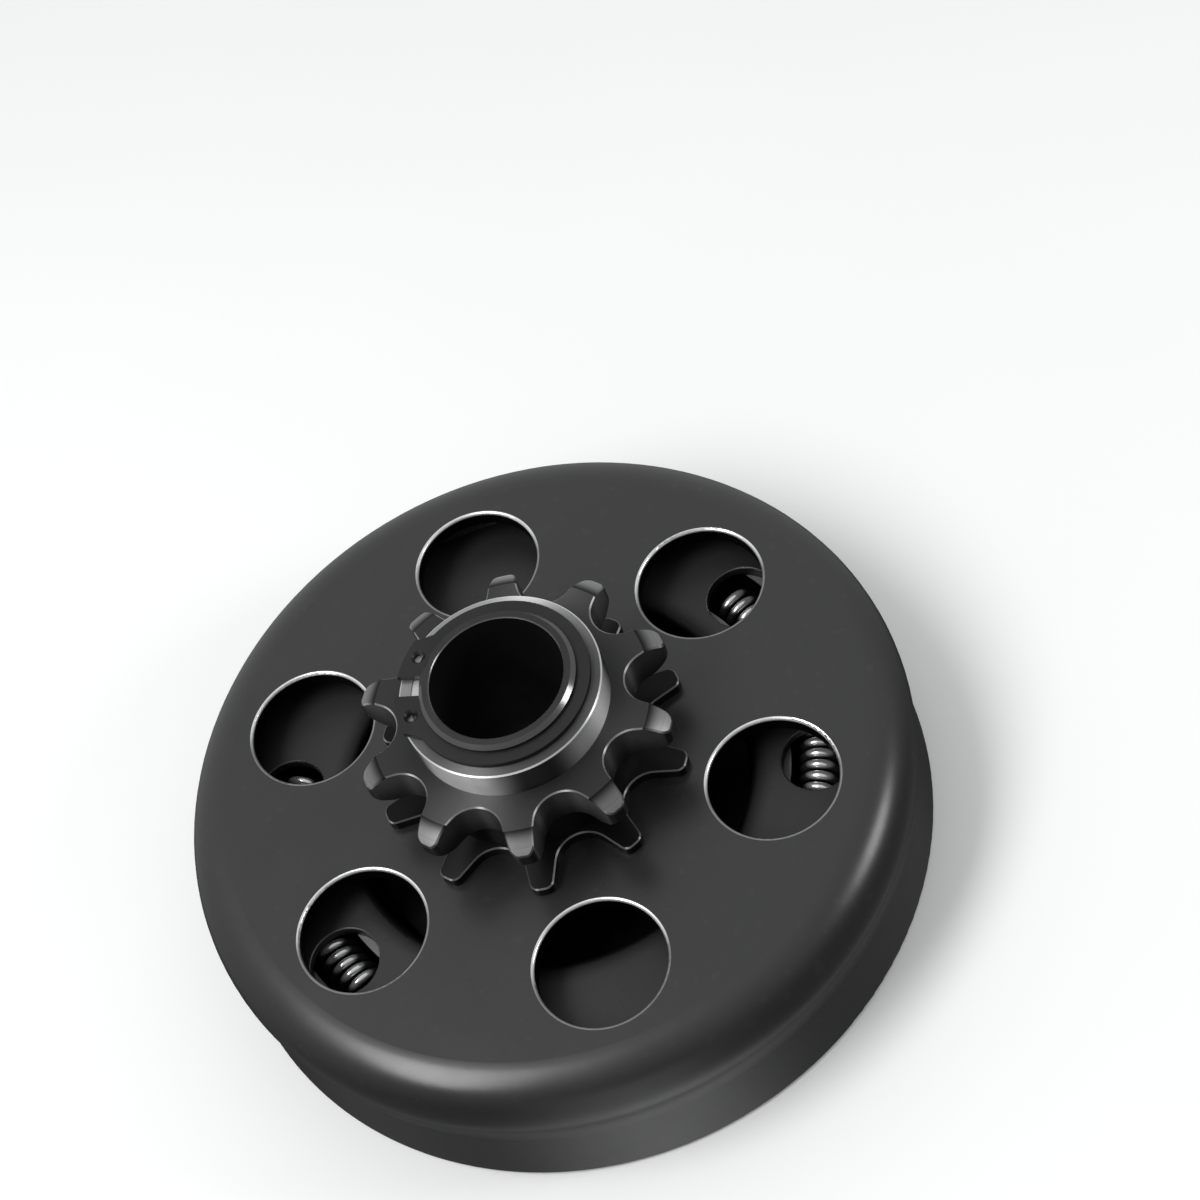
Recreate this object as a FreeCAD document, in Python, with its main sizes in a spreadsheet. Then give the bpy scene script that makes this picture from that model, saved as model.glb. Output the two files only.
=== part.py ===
import FreeCAD, Part
import Sketcher
import math
import os

os.makedirs("parts", exist_ok=True)
doc = FreeCAD.newDocument("sprocket_clutch")
V = FreeCAD.Vector


# Driving sizes, in millimetres and degrees

SIZES = [
    ("drum_height", 23.7, "open rim to outer face of the drum"),
    ("rim_radius", 54.06, "outside of the open rim"),
    ("wall_thickness", 3.06, "drum wall at the open rim"),
    ("waist_depth", 1.11, "waist inside the open rim"),
    ("waist_drop", 10.5, "waist below the face"),
    ("wall_lean", 3.0, "how far the wall leans out from waist to face"),
    ("drum_corner", 6.7, "outer corner of the drum"),
    ("waist_blend", 12.0, "blend through the waist"),
    ("web_thickness", 2.6, "sheet of the drum's face"),
    ("inner_corner", 4.0, "inner corner of the drum"),
    ("rim_round", 0.8, "outer edge of the open rim"),
    ("window_radius", 9.3, "windows in the face"),
    ("window_inset", 18.89, "window centres inside the open rim"),
    ("window_count", 6, "windows"),
    ("window_edge", 0.4, "rounded edge of a window"),
    ("bore_radius", 9.525, "three quarter inch shaft"),
    ("bore_edge", 0.15, "front edge of the bore"),
    ("bore_back_edge", 0.5, "back edge of the bore"),
    ("sleeve_wall", 1.575, "hub's sleeve around the bore"),
    ("sleeve_projection", 1.1, "sleeve beyond the front snap ring"),
    ("sleeve_edge", 0.58, "front edge of the sleeve"),
    ("running_clearance", 0.04, "between the sleeve and the bushing"),
    ("end_play", 0.1, "axial play of the hub"),
    ("bushing_wall", 1.56, "bushing around the sleeve"),
    ("bushing_recess", 0.2, "bushing below the end of the boss"),
    ("spigot_wall", 2.3, "sprocket spigot around the bushing"),
    ("lip_width", 1.2, "rolled lip beyond the spigot"),
    ("lip_height", 1.3, "rolled lip behind the face"),
    ("tooth_count", 10, "teeth"),
    ("chain_pitch", 12.7, "half inch chain"),
    ("seat_share", 0.32677, "roller seat radius, of the chain's pitch"),
    ("tip_share", 0.19295, "tooth beyond the pitch circle, of the chain's pitch"),
    ("tip_round_share", 0.10236, "corners of a tooth tip, of the chain's pitch"),
    ("seat_half_angle", 62.0, "half of the roller seat's arc"),
    ("base_height", 1.8, "tooth-form base on the drum's face"),
    ("neck_wall", 3.3, "neck below the sprocket, around the bushing"),
    ("neck_height", 6.0, "neck below the sprocket"),
    ("sprocket_width", 6.15, "width of the teeth"),
    ("crown_width", 3.1, "fallen part of the tips, in front"),
    ("crown_drop", 2.95, "fall of the front of the tips"),
    ("crown_radius", 7.04, "curve of the fallen tips"),
    ("back_crown_width", 2.7, "the same behind the teeth"),
    ("back_crown_drop", 2.3, "the same behind the teeth"),
    ("boss_wall", 1.7, "turned boss around the bushing"),
    ("boss_height", 5.15, "turned boss in front of the teeth"),
    ("boss_edge", 0.2, "edge of the boss"),
    ("tooth_edge", 0.2, "broken edges of the teeth and the base"),
    ("ring_thickness", 0.8, "front snap ring"),
    ("ring_groove", 0.65, "depth of the front snap ring's groove"),
    ("ring_width", 2.5, "front snap ring from groove to outside"),
    ("ring_gap", 3.1, "gap between the ring's ends"),
    ("lug_rise", 1.75, "lugs beyond the ring"),
    ("lug_angle", 30.0, "end of a lug, from the gap's middle"),
    ("lug_run", 9.0, "slope from a lug down to the ring, degrees"),
    ("eye_radius", 0.75, "eyes of the ring"),
    ("eye_inset", 0.15, "circle of the eyes inside the ring's outside"),
    ("eye_angle", 21.5, "eyes, from the gap's middle"),
    ("eye_edge", 0.3, "countersink of an eye"),
    ("shoulder_wall", 4.9, "shoulder under the thrust washer, around the sleeve"),
    ("shoulder_step", 8.7, "shoulder in front of the driver disc"),
    ("washer_thickness", 1.5, "thrust washer"),
    ("washer_overhang", 1.0, "thrust washer beyond the shoulder"),
    ("washer_clearance", 0.2, "thrust washer around the sleeve"),
    ("stub_wall", 4.475, "back end of the hub around the bore"),
    ("stub_length", 0.6, "hub behind the back snap ring"),
    ("key_width", 4.76, "three sixteenth inch keyway"),
    ("key_depth", 2.2, "keyway beyond the bore"),
    ("key_length", 17.8, "keyway from the back of the hub"),
    ("back_recess", 0.8, "back snap ring inside the rim plane"),
    ("back_ring_thickness", 1.0, "back snap ring"),
    ("back_ring_groove", 0.8, "depth of the back snap ring's groove"),
    ("back_ring_width", 3.0, "back snap ring from groove to outside"),
    ("plate_thickness", 1.2, "back plate"),
    ("plate_overlap", 6.0, "back plate beyond the inside of the shoes"),
    ("lining_clearance", 1.0, "lining to drum at rest"),
    ("lining_thickness", 3.2, "linings"),
    ("lining_inset", 0.6, "lining short of the shoe's faces"),
    ("lining_half_angle", 62.0, "half of a lining"),
    ("shoe_width", 16.8, "shoes from inside to outside"),
    ("shoe_space", 4.4, "front of the shoes to the drum's face sheet"),
    ("shoe_gap", 6.0, "between the ends of the shoes"),
    ("shoe_round", 1.2, "inner front edge of a shoe"),
    ("driver_clearance", 1.5, "driver disc to the shoes"),
    ("arm_width", 14.0, "drive arms"),
    ("arm_height", 6.5, "drive arms"),
    ("arm_length", 8.0, "drive arms beyond the inside of the shoes"),
    ("arm_clearance", 0.1, "between an arm and its shoe"),
    ("arm_end_clearance", 0.6, "between the end of an arm and its shoe"),
    ("channel_inset", 7.3, "middle of the spring channels inside the shoes' outside"),
    ("channel_radius", 4.0, "half width and round bottom of a spring channel"),
    ("channel_cover", 1.5, "shoe's face over a spring channel"),
    ("channel_reach", 30.2, "end of a spring channel, from the gap"),
    ("pocket_radius", 5.15, "round pocket over the end of a spring"),
    ("pocket_drop", 0.5, "ledge of a pocket below the cover"),
    ("pocket_angle", 22.6, "middle of a pocket, from the gap"),
    ("pocket_edge", 0.2, "rounded edge of a pocket"),
    ("spring_clearance", 0.55, "spring to the side of its channel"),
    ("spring_end", 1.0, "spring short of its channel's end, degrees"),
    ("leg_radius", 0.75, "hooked end of a spring"),
    ("leg_back", 2.2, "hooked end short of the spring's end, degrees"),
    ("leg_length", 2.5, "hooked end into the shoe"),
    ("leg_clearance", 0.1, "hooked end in its hole"),
    ("leg_travel", 1.0, "room for the shoe to slide, each way"),
    ("tooth_phase", 12.68, "first tooth from the first window"),
    ("shoe_phase", 63.5, "first shoe from the first window"),
    ("ring_phase", 130.0, "gap of the front snap ring"),
    ("back_ring_phase", 243.5, "gap of the back snap ring"),
]


# A size keeps its number and the expression that binds it

class Size:
    def __init__(self, value, text):
        self.value = float(value)
        self.text = text

    def __add__(self, other):
        other = size(other)
        return Size(self.value + other.value, "(%s + %s)" % (self.text, other.text))

    def __sub__(self, other):
        other = size(other)
        return Size(self.value - other.value, "(%s - %s)" % (self.text, other.text))

    def __mul__(self, other):
        other = size(other)
        return Size(self.value * other.value, "(%s * %s)" % (self.text, other.text))

    def __truediv__(self, other):
        other = size(other)
        return Size(self.value / other.value, "(%s / %s)" % (self.text, other.text))

    def __neg__(self):
        return Size(-self.value, "(0 - %s)" % self.text)


def size(value):
    if isinstance(value, Size):
        return value
    return Size(value, repr(float(value)))


def cosine(angle):
    return Size(math.cos(math.radians(angle.value)), "cos(%s)" % angle.text)


def sine(angle):
    return Size(math.sin(math.radians(angle.value)), "sin(%s)" % angle.text)


sheet = doc.addObject("Spreadsheet::Sheet", "Sizes")
d = {}
for row, (name, value, note) in enumerate(SIZES, start=1):
    sheet.set("A%d" % row, name)
    sheet.set("B%d" % row, "%g" % value)
    sheet.set("C%d" % row, note)
    sheet.setAlias("B%d" % row, name)
    d[name] = Size(value, "Sizes." + name)
doc.recompute()


# Radii that several pieces share, outwards from the bore

pitch_radius = d["chain_pitch"] / (sine(size(180) / d["tooth_count"]) * 2)
seat_radius = d["chain_pitch"] * d["seat_share"]
tip_radius = pitch_radius + d["chain_pitch"] * d["tip_share"]
tip_round = d["chain_pitch"] * d["tip_round_share"]
front_crown = tip_radius - d["crown_width"]
back_crown = tip_radius - d["back_crown_width"]
sleeve_radius = d["bore_radius"] + d["sleeve_wall"]
bushing_bore = sleeve_radius + d["running_clearance"]
bushing_radius = bushing_bore + d["bushing_wall"]
boss_radius = bushing_radius + d["boss_wall"]
spigot_radius = bushing_radius + d["spigot_wall"]
neck_radius = bushing_radius + d["neck_wall"]
lip_radius = spigot_radius + d["lip_width"]
ring_seat = sleeve_radius - d["ring_groove"]
ring_radius = ring_seat + d["ring_width"]
stub_radius = d["bore_radius"] + d["stub_wall"]
back_ring_seat = stub_radius - d["back_ring_groove"]
shoulder_radius = sleeve_radius + d["shoulder_wall"]
washer_bore = sleeve_radius + d["washer_clearance"]
washer_radius = shoulder_radius + d["washer_overhang"]
lug_radius = ring_radius + d["lug_rise"]
eye_pitch_radius = ring_radius - d["eye_inset"]
back_ring_radius = back_ring_seat + d["back_ring_width"]


# Radii that several pieces share, inwards from the rim

friction_radius = d["rim_radius"] - d["wall_thickness"]
waist_radius = d["rim_radius"] - d["waist_depth"]
face_reach = waist_radius + d["wall_lean"]
window_pitch_radius = d["rim_radius"] - d["window_inset"]
lining_outer = friction_radius - d["lining_clearance"]
shoe_outer = lining_outer - d["lining_thickness"]
shoe_inner = shoe_outer - d["shoe_width"]
channel_middle = shoe_outer - d["channel_inset"]
arm_reach = shoe_inner + d["arm_length"]
driver_radius = shoe_inner - d["driver_clearance"]
plate_radius = shoe_inner + d["plate_overlap"]


# Heights that several pieces share

face = d["drum_height"]
web_back = face - d["web_thickness"]
lip_back = web_back - d["lip_height"]
waist_height = face - d["waist_drop"]
base_top = face + d["base_height"]
teeth_back = base_top + d["neck_height"]
teeth_front = teeth_back + d["sprocket_width"]
boss_end = teeth_front + d["boss_height"]
shoulder = lip_back - d["end_play"] - d["washer_thickness"]
driver_top = shoulder - d["shoulder_step"]
ring_back = boss_end + d["end_play"]
ring_front = ring_back + d["ring_thickness"]
sleeve_end = ring_front + d["sleeve_projection"]
plate_back = d["back_recess"] + d["back_ring_thickness"]
driver_bottom = plate_back + d["plate_thickness"]
hub_back = d["back_recess"] - d["stub_length"]
shoe_top = web_back - d["shoe_space"]
channel_top = shoe_top - d["channel_cover"]
channel_level = channel_top - d["channel_radius"]
channel_floor = channel_level - d["channel_radius"]


# Springs

spring_radius = d["channel_radius"] - d["spring_clearance"]
spring_half_angle = d["channel_reach"] - d["spring_end"]
leg_angle = spring_half_angle - d["leg_back"]


# Bodies and sketches

def new_body(label, angle=None):
    body = doc.addObject("PartDesign::Body", label)
    body.Label = label
    if angle is not None:
        body.Placement = FreeCAD.Placement(V(0, 0, 0), FreeCAD.Rotation(V(0, 0, 1), angle.value))
        body.setExpression("Placement.Rotation.Angle", angle.text)
    return body


def plane(body, role):
    for feature in body.Origin.OriginFeatures:
        if feature.Role == role:
            return feature
    raise ValueError(role)


def new_sketch(body, name, role, height=None):
    sketch = body.newObject("Sketcher::SketchObject", name)
    sketch.AttachmentSupport = [(plane(body, role), "")]
    sketch.MapMode = "FlatFace"
    if height is not None:
        sketch.AttachmentOffset = FreeCAD.Placement(V(0, 0, height.value), FreeCAD.Rotation())
        sketch.setExpression("AttachmentOffset.Base.z", height.text)
    return sketch


def bind(sketch, index, amount):
    name = "c%d" % index
    sketch.renameConstraint(index, name)
    sketch.setExpression("Constraints." + name, amount.text)


def pin(sketch, geo, end, kind, amount):
    amount = size(amount)
    if abs(amount.value) < 1e-9:
        axis = -2 if kind == "DistanceX" else -1
        sketch.addConstraint(Sketcher.Constraint("PointOnObject", geo, end, axis))
        return
    if amount.value < 0:
        index = sketch.addConstraint(Sketcher.Constraint(kind, geo, end, -1, 1, -amount.value))
        bind(sketch, index, -amount)
        return
    index = sketch.addConstraint(Sketcher.Constraint(kind, -1, 1, geo, end, amount.value))
    bind(sketch, index, amount)


def join(sketch, geo, end, other, other_end):
    sketch.addConstraint(Sketcher.Constraint("Coincident", geo, end, other, other_end))


def centre_on_axis(sketch, geo):
    join(sketch, geo, 3, -1, 1)


def radius(sketch, geo, amount):
    index = sketch.addConstraint(Sketcher.Constraint("Radius", geo, amount.value))
    bind(sketch, index, amount)


def line(sketch, start, stop):
    first = V(start[0].value, start[1].value, 0)
    last = V(stop[0].value, stop[1].value, 0)
    return sketch.addGeometry(Part.LineSegment(first, last), False)


def arc(sketch, x, y, r, start, stop):
    ring = Part.Circle(V(x, y, 0), V(0, 0, 1), r)
    return sketch.addGeometry(Part.ArcOfCircle(ring, start, stop), False)


def polygon(sketch, points):
    points = [(size(x), size(y)) for x, y in points]
    count = len(points)
    lines = [line(sketch, points[i], points[(i + 1) % count]) for i in range(count)]
    for i in range(count):
        join(sketch, lines[i], 2, lines[(i + 1) % count], 1)
        pin(sketch, lines[i], 1, "DistanceX", points[i][0])
        pin(sketch, lines[i], 1, "DistanceY", points[i][1])
    return lines


def circle(sketch, x, y, r):
    x = size(x)
    y = size(y)
    geo = sketch.addGeometry(Part.Circle(V(x.value, y.value, 0), V(0, 0, 1), r.value), False)
    radius(sketch, geo, r)
    if x.value == 0 and y.value == 0:
        centre_on_axis(sketch, geo)
        return geo
    pin(sketch, geo, 3, "DistanceX", x)
    pin(sketch, geo, 3, "DistanceY", y)
    return geo


# Features

def revolve(body, name, points, kind="PartDesign::Revolution"):
    sketch = new_sketch(body, name + "_outline", "XZ_Plane")
    polygon(sketch, points)
    return spin(body, name, sketch, kind)


def spin(body, name, sketch, kind="PartDesign::Revolution"):
    feature = body.newObject(kind, name)
    feature.Profile = sketch
    feature.ReferenceAxis = (sketch, ["V_Axis"])
    feature.Angle = 360
    body.Tip = feature
    doc.recompute()
    return feature


def pad(body, name, sketch, length):
    feature = body.newObject("PartDesign::Pad", name)
    feature.Profile = sketch
    feature.Length = length.value
    feature.setExpression("Length", length.text)
    body.Tip = feature
    doc.recompute()
    return feature


def pocket(body, name, sketch, length, upward=False):
    before = body.Shape.Volume
    feature = body.newObject("PartDesign::Pocket", name)
    feature.Profile = sketch
    feature.Length = length.value
    feature.setExpression("Length", length.text)
    feature.Reversed = upward
    body.Tip = feature
    doc.recompute()
    if not feature.Shape.Volume < before - 1e-6:
        raise ValueError("pocket removes nothing: " + name)
    return feature


def around(body, name, features, sketch, count):
    pattern = body.newObject("PartDesign::PolarPattern", name)
    pattern.Originals = features
    pattern.Axis = (sketch, ["N_Axis"])
    pattern.Angle = 360
    pattern.Occurrences = int(count.value)
    pattern.setExpression("Occurrences", count.text)
    body.Tip = pattern
    doc.recompute()
    return pattern


def mirrored(body, name, features, role):
    mirror = body.newObject("PartDesign::Mirrored", name)
    mirror.Originals = features
    mirror.MirrorPlane = (plane(body, role), [""])
    body.Tip = mirror
    doc.recompute()
    return mirror


def dress(body, name, kind, edges, amount):
    base = body.Tip
    feature = body.newObject(kind, name)
    feature.Base = (base, edges)
    field = "Radius" if kind.endswith("Fillet") else "Size"
    setattr(feature, field, amount.value)
    feature.setExpression(field, amount.text)
    body.Tip = feature
    doc.recompute()
    return feature


def edges_where(body, test):
    found = []
    for index, edge in enumerate(body.Tip.Shape.Edges, start=1):
        if test(edge):
            found.append("Edge%d" % index)
    if not found:
        raise ValueError("no edge found on " + body.Label)
    return found


def is_ring(edge, r, z):
    if not isinstance(edge.Curve, Part.Circle):
        return False
    centre = edge.Curve.Center
    flat = abs(centre.z - z.value) < 1e-4 and abs(edge.Curve.Radius - r.value) < 1e-4
    return flat and math.hypot(centre.x, centre.y) < 1e-4


# Drum: drawn cup with a round corner, a slight waist and six windows

def drum():
    body = new_body("drum")
    revolve(body, "drum_cup", [
        (spigot_radius, web_back),
        (friction_radius, web_back),
        (friction_radius, 0),
        (d["rim_radius"], 0),
        (waist_radius, waist_height),
        (face_reach, face),
        (spigot_radius, face),
    ])
    corner = edges_where(body, lambda e: is_ring(e, face_reach, face))
    dress(body, "drum_corner_round", "PartDesign::Fillet", corner, d["drum_corner"])
    waist = edges_where(body, lambda e: is_ring(e, waist_radius, waist_height))
    dress(body, "drum_waist_blend", "PartDesign::Fillet", waist, d["waist_blend"])
    inner = edges_where(body, lambda e: is_ring(e, friction_radius, web_back))
    dress(body, "drum_inner_round", "PartDesign::Fillet", inner, d["inner_corner"])
    rim = edges_where(body, lambda e: is_ring(e, d["rim_radius"], size(0)))
    dress(body, "drum_rim_round", "PartDesign::Fillet", rim, d["rim_round"])
    sketch = new_sketch(body, "drum_window_outline", "XY_Plane", face)
    circle(sketch, window_pitch_radius, 0, d["window_radius"])
    window = pocket(body, "drum_window", sketch, d["web_thickness"])
    around(body, "drum_windows", [window], sketch, d["window_count"])

    def on_window(edge):
        if not isinstance(edge.Curve, Part.Circle):
            return False
        middle = edge.Curve.Center
        same = abs(edge.Curve.Radius - d["window_radius"].value) < 1e-4
        return same and abs(middle.z - face.value) < 1e-4

    edges = edges_where(body, on_window)
    dress(body, "drum_window_edges", "PartDesign::Fillet", edges, d["window_edge"])
    return body


# Sprocket: teeth, tooth-form base, neck, boss and spigot in one piece

def crown(body, name, start, drop, level, direction):
    edge = tip_radius + 0.5
    low = level + drop * direction
    sketch = new_sketch(body, name + "_outline", "XZ_Plane")
    top = line(sketch, (start, level), (edge, level))
    side = line(sketch, (edge, level), (edge, low))
    chord = V(edge.value - start.value, low.value - level.value, 0)
    middle = V(start.value, level.value, 0) + chord * 0.5
    r = max(d["crown_radius"].value, chord.Length * 0.55)
    rise = math.sqrt(r * r - (chord.Length / 2) ** 2)
    normal = V(-chord.y, chord.x, 0).normalize()
    inward = normal if normal.y * direction > 0 else -normal
    centre = middle + inward * rise
    first = math.atan2(level.value - centre.y, start.value - centre.x)
    last = math.atan2(low.value - centre.y, edge.value - centre.x)
    if direction < 0:
        curve = arc(sketch, centre.x, centre.y, r, last, first)
        near, far = 2, 1
    else:
        curve = arc(sketch, centre.x, centre.y, r, first, last)
        near, far = 1, 2
    join(sketch, top, 2, side, 1)
    join(sketch, side, 2, curve, far)
    join(sketch, top, 1, curve, near)
    pin(sketch, top, 1, "DistanceX", start)
    pin(sketch, top, 1, "DistanceY", level)
    pin(sketch, top, 2, "DistanceX", edge)
    pin(sketch, top, 2, "DistanceY", level)
    pin(sketch, side, 2, "DistanceX", edge)
    pin(sketch, side, 2, "DistanceY", low)
    radius(sketch, curve, d["crown_radius"])
    return spin(body, name, sketch, "PartDesign::Groove")


def sprocket():
    half_pitch = size(180) / d["tooth_count"]
    body = new_body("sprocket", d["tooth_phase"] - half_pitch)
    revolve(body, "sprocket_blank", [
        (bushing_radius, lip_back),
        (lip_radius, lip_back),
        (lip_radius, web_back),
        (spigot_radius, web_back),
        (spigot_radius, face),
        (tip_radius, face),
        (tip_radius, base_top),
        (neck_radius, base_top),
        (neck_radius, teeth_back),
        (tip_radius, teeth_back),
        (tip_radius, teeth_front),
        (boss_radius, teeth_front),
        (boss_radius, boss_end - d["boss_edge"]),
        (boss_radius - d["boss_edge"], boss_end),
        (bushing_radius, boss_end),
    ])
    sketch = new_sketch(body, "sprocket_gap_outline", "XY_Plane", teeth_front)
    reach = tip_radius + 3
    r = seat_radius
    a = math.radians(d["seat_half_angle"].value)
    seat = arc(sketch, pitch_radius.value, 0, r.value, math.pi - a, math.pi + a)
    foot_x = pitch_radius.value - r.value * math.cos(a)
    foot_y = r.value * math.sin(a)
    end_y = foot_y + (reach.value - foot_x) / math.tan(a)
    upper = line(sketch, (size(foot_x), size(foot_y)), (reach, size(end_y)))
    lower = line(sketch, (size(foot_x), size(-foot_y)), (reach, size(-end_y)))
    closing = line(sketch, (reach, size(end_y)), (reach, size(-end_y)))
    sketch.addConstraint(Sketcher.Constraint("Tangent", seat, 1, upper, 1))
    sketch.addConstraint(Sketcher.Constraint("Tangent", seat, 2, lower, 1))
    join(sketch, upper, 2, closing, 1)
    join(sketch, lower, 2, closing, 2)
    pin(sketch, seat, 3, "DistanceX", pitch_radius)
    pin(sketch, seat, 3, "DistanceY", 0)
    radius(sketch, seat, r)
    pin(sketch, closing, 1, "DistanceX", reach)
    pin(sketch, closing, 2, "DistanceX", reach)
    sketch.addConstraint(Sketcher.Constraint("Equal", upper, lower))
    lean = size(90) - d["seat_half_angle"]
    index = sketch.addConstraint(Sketcher.Constraint("Angle", -1, upper, math.radians(lean.value)))
    bind(sketch, index, lean)
    gap = pocket(body, "sprocket_gap", sketch, teeth_front - face)
    around(body, "sprocket_teeth", [gap], sketch, d["tooth_count"])

    def is_tip_corner(edge):
        if not isinstance(edge.Curve, Part.Line):
            return False
        first, last = [v.Point for v in edge.Vertexes]
        upright = math.hypot(first.x - last.x, first.y - last.y) < 1e-5
        return upright and abs(math.hypot(first.x, first.y) - tip_radius.value) < 1e-3

    tips = edges_where(body, is_tip_corner)
    dress(body, "sprocket_tip_rounds", "PartDesign::Fillet", tips, tip_round)
    crown(body, "sprocket_front_crown", front_crown, d["crown_drop"], teeth_front, -1)
    crown(body, "sprocket_back_crown", back_crown, d["back_crown_drop"], teeth_back, 1)

    def is_broken(edge):
        middle = edge.valueAt((edge.FirstParameter + edge.LastParameter) / 2)
        reach = math.hypot(middle.x, middle.y)
        if middle.z < face.value + 1e-3 or reach < boss_radius.value + 1e-3:
            return False
        if abs(reach - neck_radius.value) < 1e-3:
            return False
        sides = body.Tip.Shape.ancestorsOfType(edge, Part.Face)
        rises = sorted(f.normalAt(*f.Surface.parameter(middle)).z for f in sides)
        return rises[-1] > 0.05 and abs(rises[0]) < 0.05

    edges = edges_where(body, is_broken)
    dress(body, "sprocket_edges", "PartDesign::Chamfer", edges, d["tooth_edge"])
    return body


# Bushing: plain sleeve inside the sprocket

def bushing():
    body = new_body("bushing")
    top = boss_end - d["bushing_recess"]
    revolve(body, "bushing_sleeve", [
        (bushing_bore, lip_back),
        (bushing_radius, lip_back),
        (bushing_radius, top),
        (bushing_bore, top),
    ])
    return body


# Hub: sleeve, shoulder, driver disc with two arms, keyed bore

def hub():
    body = new_body("hub", d["shoe_phase"])
    revolve(body, "hub_turned", [
        (d["bore_radius"] + d["bore_back_edge"], hub_back),
        (stub_radius, hub_back),
        (stub_radius, d["back_recess"]),
        (back_ring_seat, d["back_recess"]),
        (back_ring_seat, plate_back),
        (stub_radius, plate_back),
        (stub_radius, driver_bottom),
        (driver_radius, driver_bottom),
        (driver_radius, driver_top),
        (shoulder_radius, driver_top),
        (shoulder_radius, shoulder),
        (sleeve_radius, shoulder),
        (sleeve_radius, ring_back),
        (ring_seat, ring_back),
        (ring_seat, ring_front),
        (sleeve_radius, ring_front),
        (sleeve_radius, sleeve_end - d["sleeve_edge"]),
        (sleeve_radius - d["sleeve_edge"], sleeve_end),
        (d["bore_radius"] + d["bore_edge"], sleeve_end),
        (d["bore_radius"], sleeve_end - d["bore_edge"]),
        (d["bore_radius"], hub_back + d["bore_back_edge"]),
    ])
    sketch = new_sketch(body, "hub_arm_outline", "XY_Plane", driver_bottom)
    half = d["arm_width"] / 2
    root = stub_radius + 4
    polygon(sketch, [(root, -half), (arm_reach, -half), (arm_reach, half), (root, half)])
    arm = pad(body, "hub_arm", sketch, d["arm_height"])
    mirrored(body, "hub_arms", [arm], "YZ_Plane")
    sketch = new_sketch(body, "hub_keyway_outline", "XY_Plane", hub_back)
    half = d["key_width"] / 2
    low = d["bore_radius"] - 3
    high = d["bore_radius"] + d["key_depth"]
    polygon(sketch, [(-half, low), (half, low), (half, high), (-half, high)])
    pocket(body, "hub_keyway", sketch, d["key_length"], upward=True)
    return body


# Washers and rings

def washer(label, inner, outer, bottom, thickness):
    body = new_body(label)
    top = bottom + thickness
    revolve(body, label + "_ring", [(inner, bottom), (outer, bottom), (outer, top), (inner, top)])
    return body


def front_snap_ring():
    body = new_body("front_snap_ring", d["ring_phase"])
    sketch = new_sketch(body, "front_ring_outline", "XY_Plane", ring_back)
    half = d["ring_gap"].value / 2
    inner = ring_seat
    outer = ring_radius
    lug = lug_radius
    slope_start = d["lug_angle"]
    slope_end = d["lug_angle"] + d["lug_run"]
    inner_end = math.asin(half / inner.value)
    lug_end = math.asin(half / lug.value)
    one = math.radians(slope_start.value)
    two = math.radians(slope_end.value)
    inside = arc(sketch, 0, 0, inner.value, inner_end, 2 * math.pi - inner_end)
    outside = arc(sketch, 0, 0, outer.value, two, 2 * math.pi - two)
    upper_lug = arc(sketch, 0, 0, lug.value, lug_end, one)
    lower_lug = arc(sketch, 0, 0, lug.value, -one, -lug_end)

    def at(r, angle):
        return (size(r.value * math.cos(angle)), size(r.value * math.sin(angle)))

    upper_end = line(sketch, at(inner, inner_end), at(lug, lug_end))
    lower_end = line(sketch, at(inner, -inner_end), at(lug, -lug_end))
    upper_slope = line(sketch, at(lug, one), at(outer, two))
    lower_slope = line(sketch, at(lug, -one), at(outer, -two))
    for geo, amount in ((inside, inner), (outside, outer), (upper_lug, lug), (lower_lug, lug)):
        centre_on_axis(sketch, geo)
        radius(sketch, geo, amount)
    join(sketch, upper_end, 1, inside, 1)
    join(sketch, upper_end, 2, upper_lug, 1)
    join(sketch, lower_end, 1, inside, 2)
    join(sketch, lower_end, 2, lower_lug, 2)
    join(sketch, upper_slope, 1, upper_lug, 2)
    join(sketch, upper_slope, 2, outside, 1)
    join(sketch, lower_slope, 1, lower_lug, 1)
    join(sketch, lower_slope, 2, outside, 2)
    reach = d["ring_gap"] / 2
    for geo, sign in ((upper_end, 1), (lower_end, -1)):
        sketch.addConstraint(Sketcher.Constraint("Horizontal", geo))
        pin(sketch, geo, 1, "DistanceY", reach * sign)
    for geo, sign in ((upper_slope, 1), (lower_slope, -1)):
        pin(sketch, geo, 1, "DistanceY", lug * sine(slope_start) * sign)
        pin(sketch, geo, 2, "DistanceY", outer * sine(slope_end) * sign)
    pad(body, "front_ring_plate", sketch, d["ring_thickness"])
    sketch = new_sketch(body, "front_ring_eye_outline", "XY_Plane", ring_front)
    x = eye_pitch_radius * cosine(d["eye_angle"])
    y = eye_pitch_radius * sine(d["eye_angle"])
    circle(sketch, x, y, d["eye_radius"])
    circle(sketch, x, -y, d["eye_radius"])
    pocket(body, "front_ring_eyes", sketch, d["ring_thickness"])

    def is_eye(edge):
        if not isinstance(edge.Curve, Part.Circle):
            return False
        same = abs(edge.Curve.Radius - d["eye_radius"].value) < 1e-4
        top = ring_back.value + d["ring_thickness"].value
        return same and abs(edge.Curve.Center.z - top) < 1e-4

    eyes = edges_where(body, is_eye)
    dress(body, "front_ring_eye_edges", "PartDesign::Chamfer", eyes, d["eye_edge"])
    return body


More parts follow.
